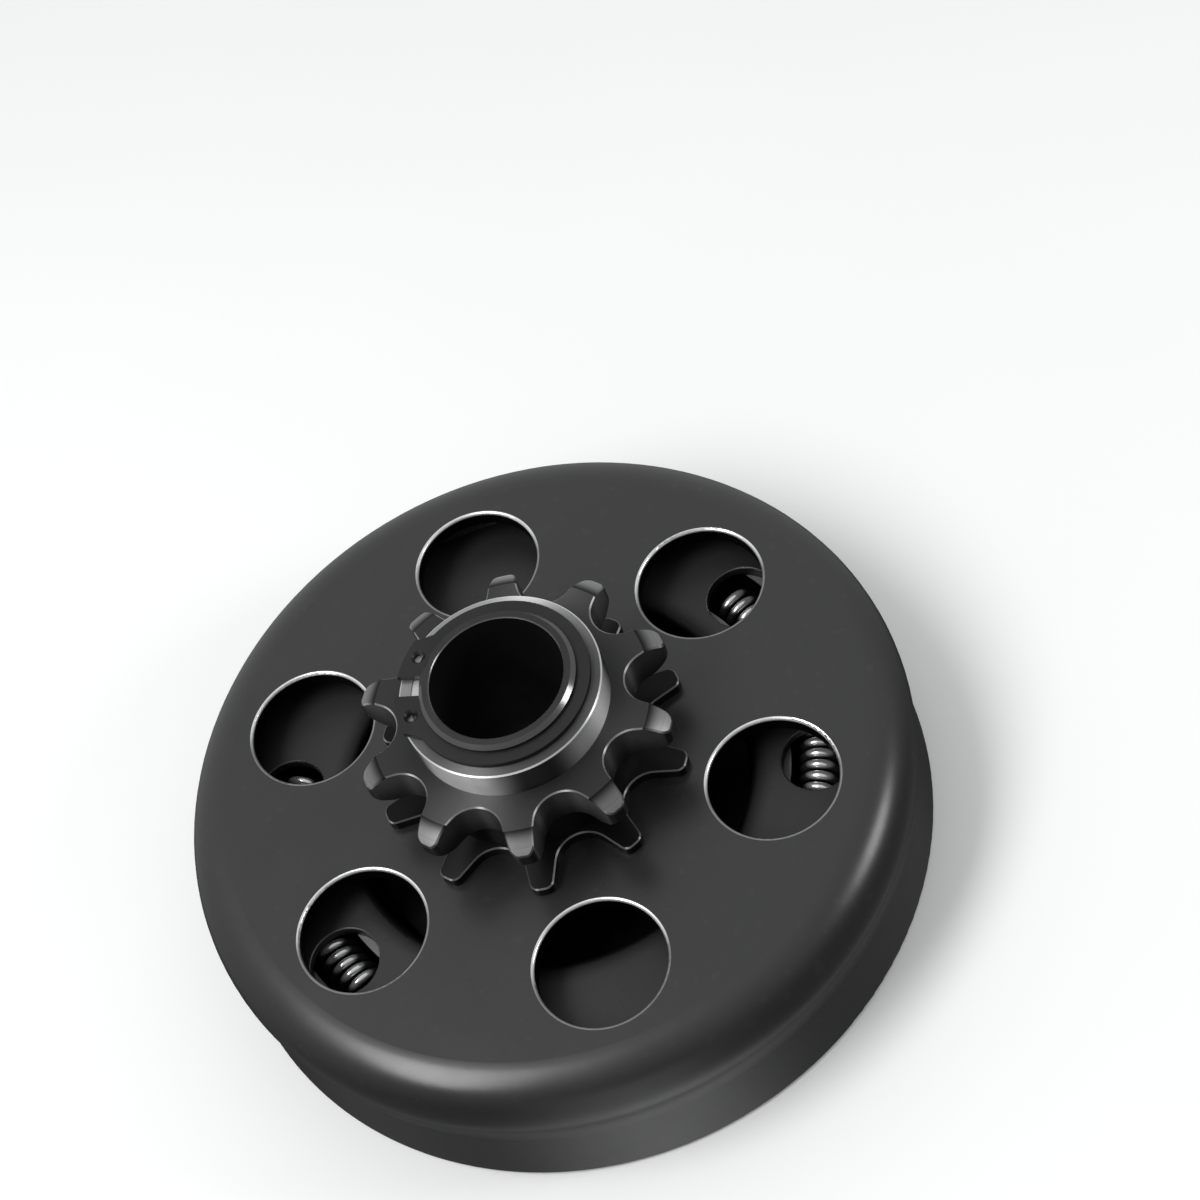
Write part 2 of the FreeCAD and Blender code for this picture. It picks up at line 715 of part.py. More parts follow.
def back_snap_ring():
    body = new_body("back_snap_ring", d["back_ring_phase"])
    sketch = new_sketch(body, "back_ring_outline", "XY_Plane", d["back_recess"])
    half = d["ring_gap"] / 2
    inner = back_ring_seat
    outer = back_ring_radius
    inner_end = math.asin(half.value / inner.value)
    outer_end = math.asin(half.value / outer.value)
    inside = arc(sketch, 0, 0, inner.value, inner_end, 2 * math.pi - inner_end)
    outside = arc(sketch, 0, 0, outer.value, outer_end, 2 * math.pi - outer_end)

    def at(r, angle):
        return (size(r.value * math.cos(angle)), size(r.value * math.sin(angle)))

    upper = line(sketch, at(inner, inner_end), at(outer, outer_end))
    lower = line(sketch, at(inner, -inner_end), at(outer, -outer_end))
    for geo, amount in ((inside, inner), (outside, outer)):
        centre_on_axis(sketch, geo)
        radius(sketch, geo, amount)
    join(sketch, upper, 1, inside, 1)
    join(sketch, upper, 2, outside, 1)
    join(sketch, lower, 1, inside, 2)
    join(sketch, lower, 2, outside, 2)
    for geo, sign in ((upper, 1), (lower, -1)):
        sketch.addConstraint(Sketcher.Constraint("Horizontal", geo))
        pin(sketch, geo, 1, "DistanceY", half * sign)
    pad(body, "back_ring_plate", sketch, d["back_ring_thickness"])
    return body


# Shoes: half rings that ride on the arms, with a covered spring channel at each end

def shoe(label, angle):
    body = new_body(label, angle)
    inner = shoe_inner
    outer = shoe_outer
    half = d["shoe_gap"] / 2
    sketch = new_sketch(body, label + "_outline", "XY_Plane", driver_bottom)
    inner_end = math.acos(half.value / inner.value)
    outer_end = math.acos(half.value / outer.value)
    inside = arc(sketch, 0, 0, inner.value, -inner_end, inner_end)
    outside = arc(sketch, 0, 0, outer.value, -outer_end, outer_end)

    def at(r, turn):
        return (size(r.value * math.cos(turn)), size(r.value * math.sin(turn)))

    upper = line(sketch, at(inner, inner_end), at(outer, outer_end))
    lower = line(sketch, at(inner, -inner_end), at(outer, -outer_end))
    for geo, amount in ((inside, inner), (outside, outer)):
        centre_on_axis(sketch, geo)
        radius(sketch, geo, amount)
    join(sketch, upper, 1, inside, 2)
    join(sketch, upper, 2, outside, 2)
    join(sketch, lower, 1, inside, 1)
    join(sketch, lower, 2, outside, 1)
    for geo in (upper, lower):
        sketch.addConstraint(Sketcher.Constraint("Vertical", geo))
        pin(sketch, geo, 1, "DistanceX", half)
    pad(body, label + "_ring", sketch, shoe_top - driver_bottom)

    sketch = new_sketch(body, label + "_arm_seat_outline", "XY_Plane", driver_bottom)
    side = d["arm_width"] / 2 + d["arm_clearance"]
    first = inner - 4
    last = arm_reach + d["arm_end_clearance"]
    polygon(sketch, [(first, -side), (last, -side), (last, side), (first, side)])
    deep = d["arm_height"] + d["arm_clearance"]
    pocket(body, label + "_arm_seat", sketch, deep, upward=True)

    channel = spring_channel(body, label)
    opening = spring_pocket(body, label)
    hole = leg_hole(body, label)
    mirrored(body, label + "_channels", [channel, opening, hole], "XZ_Plane")

    edge = edges_where(body, lambda e: is_ring(e, inner, shoe_top))
    dress(body, label + "_inner_round", "PartDesign::Fillet", edge, d["shoe_round"])

    def on_pocket(edge):
        if not isinstance(edge.Curve, Part.Circle):
            return False
        same = abs(edge.Curve.Radius - d["pocket_radius"].value) < 1e-4
        return same and abs(edge.Curve.Center.z - shoe_top.value) < 1e-4

    edges = edges_where(body, on_pocket)
    dress(body, label + "_pocket_edges", "PartDesign::Fillet", edges, d["pocket_edge"])
    return body


def spring_channel(body, label):
    sketch = new_sketch(body, label + "_channel_section", "YZ_Plane")
    half = d["channel_radius"]
    near = channel_middle - half
    far = channel_middle + half
    bottom = arc(sketch, channel_middle.value, channel_level.value, half.value, math.pi, 2 * math.pi)
    inside = line(sketch, (near, channel_level), (near, channel_top))
    top = line(sketch, (near, channel_top), (far, channel_top))
    outside = line(sketch, (far, channel_top), (far, channel_level))
    join(sketch, bottom, 1, inside, 1)
    join(sketch, inside, 2, top, 1)
    join(sketch, top, 2, outside, 1)
    join(sketch, outside, 2, bottom, 2)
    radius(sketch, bottom, half)
    pin(sketch, bottom, 3, "DistanceX", channel_middle)
    pin(sketch, bottom, 3, "DistanceY", channel_level)
    pin(sketch, bottom, 1, "DistanceY", channel_level)
    pin(sketch, bottom, 2, "DistanceY", channel_level)
    pin(sketch, top, 1, "DistanceY", channel_top)
    pin(sketch, top, 2, "DistanceY", channel_top)
    sketch.addConstraint(Sketcher.Constraint("Vertical", inside))
    sketch.addConstraint(Sketcher.Constraint("Vertical", outside))
    feature = body.newObject("PartDesign::Groove", label + "_channel")
    feature.Profile = sketch
    feature.ReferenceAxis = (sketch, ["V_Axis"])
    span = d["channel_reach"] * 2
    feature.Angle = span.value
    feature.setExpression("Angle", span.text)
    feature.Midplane = True
    body.Tip = feature
    doc.recompute()
    return feature


def spring_pocket(body, label):
    sketch = new_sketch(body, label + "_pocket_outline", "XY_Plane", shoe_top)
    turn = size(90) - d["pocket_angle"]
    x = channel_middle * cosine(turn)
    y = channel_middle * sine(turn)
    circle(sketch, x, y, d["pocket_radius"])
    return pocket(body, label + "_pocket", sketch, d["channel_cover"] + d["pocket_drop"])


def leg_hole(body, label):
    sketch = new_sketch(body, label + "_leg_hole_outline", "XY_Plane", channel_level)
    turn = size(90) - leg_angle
    x = channel_middle * cosine(turn)
    y = channel_middle * sine(turn)
    half = d["leg_radius"] + d["leg_clearance"]
    run = d["leg_travel"] + half
    polygon(sketch, [
        (x - run, y - half),
        (x + run, y - half),
        (x + run, y + half),
        (x - run, y + half),
    ])
    return pocket(body, label + "_leg_hole", sketch, d["channel_radius"] + d["leg_length"] + 0.2)


# Linings: friction arcs on the shoes

def lining(label, angle):
    body = new_body(label, angle)
    inner = shoe_outer
    outer = lining_outer
    bottom = driver_bottom + d["lining_inset"]
    sketch = new_sketch(body, label + "_outline", "XY_Plane", bottom)
    end = math.radians(d["lining_half_angle"].value)
    inside = arc(sketch, 0, 0, inner.value, -end, end)
    outside = arc(sketch, 0, 0, outer.value, -end, end)

    def at(r, turn):
        return (size(r.value * math.cos(turn)), size(r.value * math.sin(turn)))

    upper = line(sketch, at(inner, end), at(outer, end))
    lower = line(sketch, at(inner, -end), at(outer, -end))
    for geo, amount in ((inside, inner), (outside, outer)):
        centre_on_axis(sketch, geo)
        radius(sketch, geo, amount)
    join(sketch, upper, 1, inside, 2)
    join(sketch, upper, 2, outside, 2)
    join(sketch, lower, 1, inside, 1)
    join(sketch, lower, 2, outside, 1)
    for geo, sign in ((upper, 1), (lower, -1)):
        pin(sketch, geo, 1, "DistanceY", inner * sine(d["lining_half_angle"]) * sign)
        pin(sketch, geo, 2, "DistanceY", outer * sine(d["lining_half_angle"]) * sign)
    width = shoe_top - driver_bottom - d["lining_inset"] * 2
    pad(body, label + "_arc", sketch, width)
    return body


# Springs: curved bodies in the channels, with hooked ends in the shoes

def spring(label, angle):
    body = new_body(label, angle)
    sketch = new_sketch(body, label + "_section", "XZ_Plane")
    circle(sketch, channel_middle, channel_level, spring_radius)
    coil = body.newObject("PartDesign::Revolution", label + "_coil")
    coil.Profile = sketch
    coil.ReferenceAxis = (sketch, ["V_Axis"])
    span = spring_half_angle * 2
    coil.Angle = span.value
    coil.setExpression("Angle", span.text)
    coil.Midplane = True
    body.Tip = coil
    doc.recompute()
    sketch = new_sketch(body, label + "_legs_outline", "XY_Plane", channel_floor - d["leg_length"])
    x = channel_middle * cosine(leg_angle)
    y = channel_middle * sine(leg_angle)
    circle(sketch, x, y, d["leg_radius"])
    circle(sketch, x, -y, d["leg_radius"])
    pad(body, label + "_legs", sketch, d["leg_length"] + d["channel_radius"])
    return body


half_turn = d["shoe_phase"] + 180
quarter = d["shoe_phase"] - 90
three_quarter = d["shoe_phase"] + 90

bodies = [
    drum(),
    sprocket(),
    bushing(),
    hub(),
    washer("thrust_washer", washer_bore, washer_radius, shoulder, d["washer_thickness"]),
    front_snap_ring(),
    washer("back_plate", stub_radius, plate_radius, plate_back, d["plate_thickness"]),
    back_snap_ring(),
    shoe("shoe_a", d["shoe_phase"]),
    shoe("shoe_b", half_turn),
    lining("lining_a", d["shoe_phase"]),
    lining("lining_b", half_turn),
    spring("spring_a", quarter),
    spring("spring_b", three_quarter),
]
doc.recompute()


# Every piece is checked, then written

for item in doc.Objects:
    for state in ("Invalid", "Error"):
        if state in item.State:
            raise ValueError("%s is %s" % (item.Label, state))

for body in bodies:
    shape = body.Shape
    if shape.isNull() or not shape.isValid() or shape.Volume <= 0:
        raise ValueError("bad shape: " + body.Label)
    shape.exportStep("parts/%s.step" % body.Label)
    box = shape.BoundBox
    print("%-16s %2d solid %9.1f mm3  z %.2f..%.2f  r %.2f" % (
        body.Label, len(shape.Solids), shape.Volume, box.ZMin, box.ZMax, box.XMax))
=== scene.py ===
import math

import bmesh
import bpy
from mathutils import Matrix, Vector


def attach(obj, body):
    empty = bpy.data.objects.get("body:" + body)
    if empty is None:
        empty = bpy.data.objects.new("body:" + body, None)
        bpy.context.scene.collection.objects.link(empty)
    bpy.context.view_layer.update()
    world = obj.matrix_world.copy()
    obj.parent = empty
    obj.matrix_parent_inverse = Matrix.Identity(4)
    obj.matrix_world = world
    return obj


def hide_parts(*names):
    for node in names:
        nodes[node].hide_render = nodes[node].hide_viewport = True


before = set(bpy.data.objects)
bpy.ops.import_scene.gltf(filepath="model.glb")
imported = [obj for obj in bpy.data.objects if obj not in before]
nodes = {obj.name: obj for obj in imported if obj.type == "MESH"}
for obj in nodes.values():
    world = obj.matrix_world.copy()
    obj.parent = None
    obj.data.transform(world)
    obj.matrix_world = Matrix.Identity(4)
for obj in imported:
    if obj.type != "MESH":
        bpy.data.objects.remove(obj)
scene = bpy.context.scene
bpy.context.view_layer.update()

MM = 0.001
CHAMFER_RISE = 0.707


# Node helpers. Lengths on the part reach the nodes in metres.


class Graph:
    """Adds linked nodes to one node tree."""

    def __init__(self, tree):
        self.tree = tree

    def node(self, kind, **settings):
        made = self.tree.nodes.new(kind)
        for key, amount in settings.items():
            setattr(made, key, amount)
        return made

    def link(self, source, target):
        """Joins an output to target, or gives target a plain value."""
        if hasattr(source, "is_output"):
            self.tree.links.new(source, target)
        else:
            target.default_value = source

    def math(self, operation, first, second=0.0):
        made = self.node("ShaderNodeMath", operation=operation)
        self.link(first, made.inputs[0])
        self.link(second, made.inputs[1])
        return made.outputs[0]

    def product(self, first, *others):
        for other in others:
            first = self.math("MULTIPLY", first, other)
        return first

    def ramp(self, amount, start, stop, first=0.0, last=1.0, smooth=True):
        """Goes from first to last while amount goes from start to stop, and is flat outside."""
        made = self.node("ShaderNodeMapRange")
        made.interpolation_type = "SMOOTHSTEP" if smooth else "LINEAR"
        self.link(amount, made.inputs["Value"])
        self.link(start, made.inputs["From Min"])
        self.link(stop, made.inputs["From Max"])
        self.link(first, made.inputs["To Min"])
        self.link(last, made.inputs["To Max"])
        return made.outputs["Result"]


class Finish(Graph):
    """A Principled material whose colour, roughness and relief come from nodes."""

    def __init__(self, name, **fixed):
        self.mat = bpy.data.materials.new(name)
        self.mat.use_nodes = True
        super().__init__(self.mat.node_tree)
        self.shader = self.tree.nodes["Principled BSDF"]
        for key, amount in fixed.items():
            self.shader.inputs[key.replace("_", " ")].default_value = amount
        self.place = self.node("ShaderNodeTexCoord").outputs["Object"]

    def noise(self, size, detail=2.0, rough=0.5):
        """Noise whose grains are about size metres wide."""
        made = self.node("ShaderNodeTexNoise")
        self.link(self.place, made.inputs["Vector"])
        made.inputs["Scale"].default_value = 0.5 / size
        made.inputs["Detail"].default_value = detail
        made.inputs["Roughness"].default_value = rough
        return made.outputs["Fac"]

    def lathe(self, slope, scale):
        """Fine rings round the axis, on flat ends as on turned sides."""
        r, _, z = self.polar()
        made = self.node("ShaderNodeTexNoise", noise_dimensions="1D")
        self.link(self.math("ADD", r, self.product(z, slope)), made.inputs["W"])
        made.inputs["Scale"].default_value = scale
        made.inputs["Detail"].default_value = 3
        return made.outputs["Fac"]

    def turned_gloss(self):
        """Lets the anisotropic gloss follow the rings of a lathe."""
        tangent = self.node("ShaderNodeTangent", direction_type="RADIAL", axis="Z")
        self.link(tangent.outputs[0], self.shader.inputs["Tangent"])

    def parts(self, vector):
        made = self.node("ShaderNodeSeparateXYZ")
        self.link(vector, made.inputs[0])
        return made.outputs["X"], made.outputs["Y"], made.outputs["Z"]

    def diagonal(self, x, y):
        return self.math("SQRT", self.math("ADD", self.product(x, x), self.product(y, y)))

    def polar(self):
        """Radius from the axis, angle and height of a point on the part."""
        x, y, z = self.parts(self.place)
        return self.diagonal(x, y), self.math("ARCTAN2", y, x), z

    def rise(self):
        """How far the surface faces up: 1 flat, 0 upright, -1 downwards."""
        made = self.node("ShaderNodeNewGeometry")
        return self.parts(made.outputs["True Normal"])[2]

    def above(self, length, start, stop):
        """0 up to start, 1 from stop on, both given in millimetres."""
        return self.ramp(length, start * MM, stop * MM)

    def below(self, length, start, stop):
        """1 up to start, 0 from stop on, both given in millimetres."""
        return self.ramp(length, start * MM, stop * MM, 1.0, 0.0)

    def band(self, amount, middle, half, soft):
        """1 within half of middle, falling to 0 over soft."""
        away = self.math("ABSOLUTE", self.math("SUBTRACT", amount, middle))
        return self.ramp(away, half, half + soft, 1.0, 0.0)

    def mix(self, amount, first, second):
        """Mixes two greys or colours."""
        made = self.node("ShaderNodeMix", data_type="RGBA")
        self.link(amount, made.inputs["Factor"])
        for index, colour in ((6, first), (7, second)):
            if isinstance(colour, (int, float)):
                colour = (colour, colour, colour, 1.0)
            elif isinstance(colour, tuple) and len(colour) == 3:
                colour = (*colour, 1.0)
            self.link(colour, made.inputs[index])
        return made.outputs[2]

    def so_far(self, socket):
        """What already feeds one of the shader's sockets."""
        return self.shader.inputs[socket].links[0].from_socket

    def colour(self, source):
        self.link(source, self.shader.inputs["Base Color"])

    def rough(self, source):
        self.link(source, self.shader.inputs["Roughness"])

    def metal(self, source):
        self.link(source, self.shader.inputs["Metallic"])

    def relief(self, height, depth, strength=1.0):
        """Bump from height, depth metres high. A later call adds to an earlier one."""
        made = self.node("ShaderNodeBump")
        made.inputs["Strength"].default_value = strength
        made.inputs["Distance"].default_value = depth
        self.link(height, made.inputs["Height"])
        normal = self.shader.inputs["Normal"]
        if normal.links:
            self.link(normal.links[0].from_socket, made.inputs["Normal"])
        self.link(made.outputs["Normal"], normal)


def paint(obj, finish):
    obj.data.materials.clear()
    obj.data.materials.append(finish.mat)


# Satin black coat of the drum. Places on the part are in millimetres, measured from its axis
# and from the drum's open rim.

WINDOWS = 6
WINDOW_PITCH = 35.17
WINDOW_WALL = 9.40
WINDOW_EDGE = 9.5
WINDOW_EDGE_HALF = 0.19
WINDOW_EDGE_FOOT = 23.2
WINDOW_WALL_FOOT = 17.0
HIGHLIGHT_SIDE = 56.0
RIM_WEAR_TOP = 0.9
DRUM_INSIDE = 50.6
DRUM_INSIDE_TOP = 16.5


def window_places(f, r, angle):
    """Distance from the nearest window's middle, and the direction from there."""
    pitch = 2 * math.pi / WINDOWS
    turned = f.math("ADD", angle, math.pi * 2 + pitch / 2)
    folded = f.math("SUBTRACT", f.math("MODULO", turned, pitch), pitch / 2)
    along = f.math("SUBTRACT", f.product(r, f.math("COSINE", folded)), WINDOW_PITCH * MM)
    across = f.product(r, f.math("SINE", folded))
    side = f.math("SUBTRACT", f.math("ARCTAN2", across, along), f.math("SUBTRACT", folded, angle))
    return f.diagonal(along, across), side


def drum_finish():
    """Thin coat with fine grain. The windows' edges are worn to metal with a painted highlight,
    strongest on one side of each window; the windows' walls get painted shade; the rim is worn to metal
    in spots.
    """
    f = Finish("satin_black_coat", IOR=1.5)
    r, angle, z = f.polar()
    cloud = f.noise(0.018, 3.0, 0.55)
    grain = f.noise(0.00035, 2.0, 0.6)
    specks = f.ramp(f.noise(0.0009, 1.0, 0.4), 0.66, 0.74)
    base = f.mix(cloud, 0.0075, 0.0105)
    base = f.mix(f.product(grain, 0.35), base, 0.016)
    base = f.mix(f.product(specks, 0.25), base, 0.024)

    away, side = window_places(f, r, angle)
    edge = f.product(
        f.band(away, WINDOW_EDGE * MM, WINDOW_EDGE_HALF * MM, 0.05 * MM),
        f.above(z, WINDOW_EDGE_FOOT, WINDOW_EDGE_FOOT + 0.1),
    )
    # Painted highlight: the windows' edge band, worn to metal, is made brightest on one side of each
    # window.
    facing = f.math("COSINE", f.math("SUBTRACT", side, math.radians(HIGHLIGHT_SIDE)))
    painted_highlight = f.ramp(facing, -0.15, 0.45, 0.20, 1.0)
    edge_wear_and_highlight = f.product(edge, painted_highlight, f.ramp(f.noise(0.0011, 3.0, 0.6), 0.3, 0.6, 0.8, 1.0))
    rim = f.ramp(z, 0.2 * MM, RIM_WEAR_TOP * MM, 0.12, 0.0)
    worn_rim = f.product(rim, f.ramp(f.noise(0.002, 3.0, 0.6), 0.45, 0.7))
    wear_and_highlight = f.math("MAXIMUM", edge_wear_and_highlight, worn_rim)
    # Painted shade: the windows' walls are made near black, fully metallic and rougher.
    wall_shade = f.product(
        f.below(away, WINDOW_WALL, WINDOW_WALL + 0.02),
        f.above(z, WINDOW_WALL_FOOT, WINDOW_WALL_FOOT + 0.1),
    )
    f.colour(f.mix(wear_and_highlight, f.mix(wall_shade, base, 0.003), 0.72))
    f.metal(f.math("MAXIMUM", wear_and_highlight, wall_shade))

    inside = f.product(
        f.below(r, DRUM_INSIDE, DRUM_INSIDE + 0.8),
        f.below(z, DRUM_INSIDE_TOP, DRUM_INSIDE_TOP + 1.0),
    )
    rough = f.ramp(f.noise(0.006, 3.0, 0.6), 0.3, 0.7, 0.27, 0.32)
    rough = f.math("SUBTRACT", rough, f.product(wear_and_highlight, 0.08))
    rough = f.math("ADD", rough, f.product(wall_shade, 0.35))
    f.rough(f.math("ADD", rough, f.product(inside, 0.1)))
    f.relief(grain, 0.0000035)
    f.relief(f.noise(0.0012, 1.0, 0.5), 0.000006)
    return f


# Blackened steel of the sprocket

BASE_TOP = 25.55
NECK_TOP = 31.3
NECK_OUTSIDE = 16.2
TEETH_LOW = 30.5
TEETH_HIGH = 37.2
BOSS_FOOT = 37.64
BOSS_OUTSIDE = 14.6
CROWN_START = 19.9
CROWN_FOOT = 34.6
CROWN_HIGHLIGHT = 22.0
TIP_START = 22.2
BOSS_SHEEN_LOBES = 4.0
BOSS_SHEEN_PLACE = -70.0
BOSS_END_HIGHLIGHT = 75.0


def sprocket_finish():
    """Blackened steel with painted shade on the base, neck, flanks, teeth backs and tips, a painted
    highlight band on the teeth's crowns, painted highlight lines on the chamfers, and painted sheen on
    the turned boss.
    """
    f = Finish("black_oxide_steel", Metallic=0.85, Anisotropic=0.9, Anisotropic_Rotation=0.25)
    f.turned_gloss()
    r, angle, z = f.polar()
    rise = f.rise()
    lathe = f.lathe(0.8, 9000)
    cloud = f.noise(0.004, 3.0, 0.6)

    upright = f.ramp(f.math("ABSOLUTE", rise), 0.1, 0.2, 1.0, 0.0)
    # Painted shade: the teeth darken towards the back and beyond the tip start, the upright flanks get
    # a slightly darker grey than the front faces, and the neck goes near black.
    oxide_and_shade = f.mix(f.above(z, TEETH_LOW, TEETH_HIGH), 0.010, f.mix(cloud, 0.045, 0.065))
    oxide_and_shade = f.mix(f.above(r, TIP_START, TIP_START + 0.3), oxide_and_shade, 0.012)
    flank_shade = f.product(upright, f.above(r, NECK_OUTSIDE, NECK_OUTSIDE + 0.1))
    base = f.mix(flank_shade, f.mix(cloud, 0.036, 0.054), oxide_and_shade)
    neck = f.product(upright, f.below(z, NECK_TOP, NECK_TOP + 0.2))
    base = f.mix(neck, base, 0.004)

    # Painted highlight: the crowns run from near black at their start to a bright band, then fade a
    # little towards the tips.
    crown_highlight = f.mix(f.above(r, CROWN_START, CROWN_HIGHLIGHT), 0.008, 0.21)
    crown_highlight = f.mix(f.above(r, CROWN_HIGHLIGHT - 0.1, CROWN_HIGHLIGHT + 0.9), crown_highlight, 0.11)
    tips = f.product(
        f.above(r, CROWN_START, CROWN_START + 0.1),
        f.above(z, CROWN_FOOT, CROWN_FOOT + 0.3),
        f.ramp(rise, 0.3, 0.5),
    )
    base = f.mix(tips, base, crown_highlight)

    # Painted shade: the tooth-form base beneath the teeth is made darker, and its upright sides near
    # black.
    root = f.below(z, BASE_TOP, BASE_TOP + 0.05)
    base = f.mix(root, base, f.mix(cloud, 0.008, 0.012))
    base = f.mix(f.product(root, f.ramp(rise, 0.1, 0.2, 1.0, 0.0)), base, 0.003)

    on_boss = f.product(
        f.above(z, BOSS_FOOT, BOSS_FOOT + 0.06),
        f.below(r, BOSS_OUTSIDE, BOSS_OUTSIDE + 0.1),
    )
    # Painted sheen: bright and dark lobes of reflection are painted at fixed angles round the turned
    # side of the boss.
    past_sheen = f.math("SUBTRACT", angle, math.radians(BOSS_SHEEN_PLACE))
    bright = f.ramp(f.math("COSINE", f.product(past_sheen, BOSS_SHEEN_LOBES)), -0.9, 0.5)
    side = f.product(on_boss, f.ramp(rise, 0.2, 0.3, 1.0, 0.0))
    base = f.mix(side, base, f.mix(bright, f.mix(lathe, 0.015, 0.03), f.mix(lathe, 0.37, 0.48)))
    # Painted highlight: the end face of the boss is made brighter on one side.
    past_end_highlight = f.math("SUBTRACT", angle, math.radians(BOSS_END_HIGHLIGHT))
    far = f.ramp(f.math("COSINE", past_end_highlight), -0.5, 0.9)
    end = f.product(on_boss, f.ramp(rise, 0.9, 0.95))
    base = f.mix(end, base, f.mix(far, f.mix(lathe, 0.07, 0.11), f.mix(lathe, 0.28, 0.38)))

    # Painted highlight: the 45 degree chamfers are made bright as lines of light, brightest round the
    # boss, dimmer on the teeth, dimmest on the base.
    slanted = f.band(rise, CHAMFER_RISE, 0.05, 0.02)
    edges = f.mix(f.above(r, BOSS_OUTSIDE + 0.8, BOSS_OUTSIDE + 0.9), 0.62, 0.24)
    f.colour(f.mix(slanted, base, f.mix(root, edges, 0.15)))
    f.rough(f.ramp(cloud, 0.3, 0.7, 0.40, 0.48))
    f.relief(lathe, 0.000003, 0.5)
    f.relief(f.noise(0.0003, 2.0, 0.6), 0.000003, 0.5)
    return f


# Turned steels and bronze

BORE = 9.55
SLEEVE_END = 44.0
HUB_BACK = 1.4
HUB_DARK_TOP = 17.0
PLATE_INNER_FACE = 3.0
RING_GAP_MIDDLE = 130.0
RING_GAP_HALF = 9.0


def turned_steel(name, dark, light, rough_low, rough_high, metallic=0.9, aniso=0.0):
    """Metal with fine rings of a lathe and slow clouds in its colour and gloss."""
    f = Finish(name, Metallic=metallic, Anisotropic=aniso)
    if aniso:
        f.turned_gloss()
    lathe = f.lathe(0.7, 8000)
    cloud = f.noise(0.005, 3.0, 0.6)
    f.colour(f.mix(f.math("ADD", f.product(cloud, 0.6), f.product(lathe, 0.4)), dark, light))
    f.rough(f.ramp(cloud, 0.3, 0.7, rough_low, rough_high))
    f.relief(lathe, 0.000003, 0.6)
    return f


def hub_finish():
    """Painted shade makes it near black in the bore and inside the drum; a painted highlight brightens
    the chamfer at the front.
    """
    f = turned_steel("black_hub_steel", 0.022, 0.045, 0.34, 0.44, 0.85)
    r, _, z = f.polar()
    # Painted shade: the bore and the hub inside the drum are made near black; the bore is also rougher.
    bore = f.below(r, BORE, BORE + 0.05)
    # Painted highlight: the chamfer at the front end is made brighter and glossier.
    chamfer = f.band(f.rise(), CHAMFER_RISE, 0.12, 0.04)
    front = f.product(f.above(z, SLEEVE_END, SLEEVE_END + 0.1), chamfer)
    deep_shade = f.product(f.below(z, HUB_DARK_TOP, HUB_DARK_TOP + 5.0), f.above(z, HUB_BACK, HUB_BACK + 0.2))
    dark = f.math("MAXIMUM", bore, deep_shade)
    f.colour(f.mix(front, f.mix(dark, f.so_far("Base Color"), 0.005), 0.12))
    dull = f.math("ADD", f.so_far("Roughness"), f.product(bore, 0.4))
    f.rough(f.math("SUBTRACT", dull, f.product(front, 0.2)))
    return f


def washer_finish():
    """Zinc plated steel, with painted shade making the back plate's inner face near black."""
    f = turned_steel("zinc_washer_steel", 0.38, 0.52, 0.30, 0.42, 1.0, 0.4)
    _, _, z = f.polar()
    # Painted shade: the back plate's inner face, inside the drum, is made near black and rougher.
    inner = f.band(z, PLATE_INNER_FACE * MM, 0.1 * MM, 0.05 * MM)
    inner_face_shade = f.product(inner, f.ramp(f.rise(), 0.9, 0.95))
    f.colour(f.mix(inner_face_shade, f.so_far("Base Color"), 0.004))
    f.rough(f.math("ADD", f.so_far("Roughness"), f.product(inner_face_shade, 0.4)))
    return f


def bushing_finish():
    """Bronze made dark by painted shade, with a pale painted highlight patch between the ends of the
    snap ring.
    """
    # Painted shade: the bronze is made dark all over.
    f = turned_steel("shaded_sintered_bronze", 0.05, 0.09, 0.30, 0.40)
    _, angle, _ = f.polar()
    # Painted highlight: a pale patch of bronze between the ends of the snap ring.
    gap = f.band(angle, math.radians(RING_GAP_MIDDLE), math.radians(RING_GAP_HALF), math.radians(1.0))
    bare_and_highlight = f.mix(f.noise(0.0008, 3.0, 0.6), (0.42, 0.41, 0.39), (0.52, 0.51, 0.49))
    f.colour(f.mix(gap, f.so_far("Base Color"), bare_and_highlight))
    return f


# Shoes, linings and wire

LEDGE = 14.7
SHOE_LIP = 16.46
CHANNEL_DARK_FROM = 13.5
CHANNEL_DARK_TO = 16.2
SHOE_INSIDE = 29.6
SHOE_UNSHADED_FROM = 33.8
WIRE_GLINT_FROM = 13.75
WIRE_GLINT_TO = 14.35


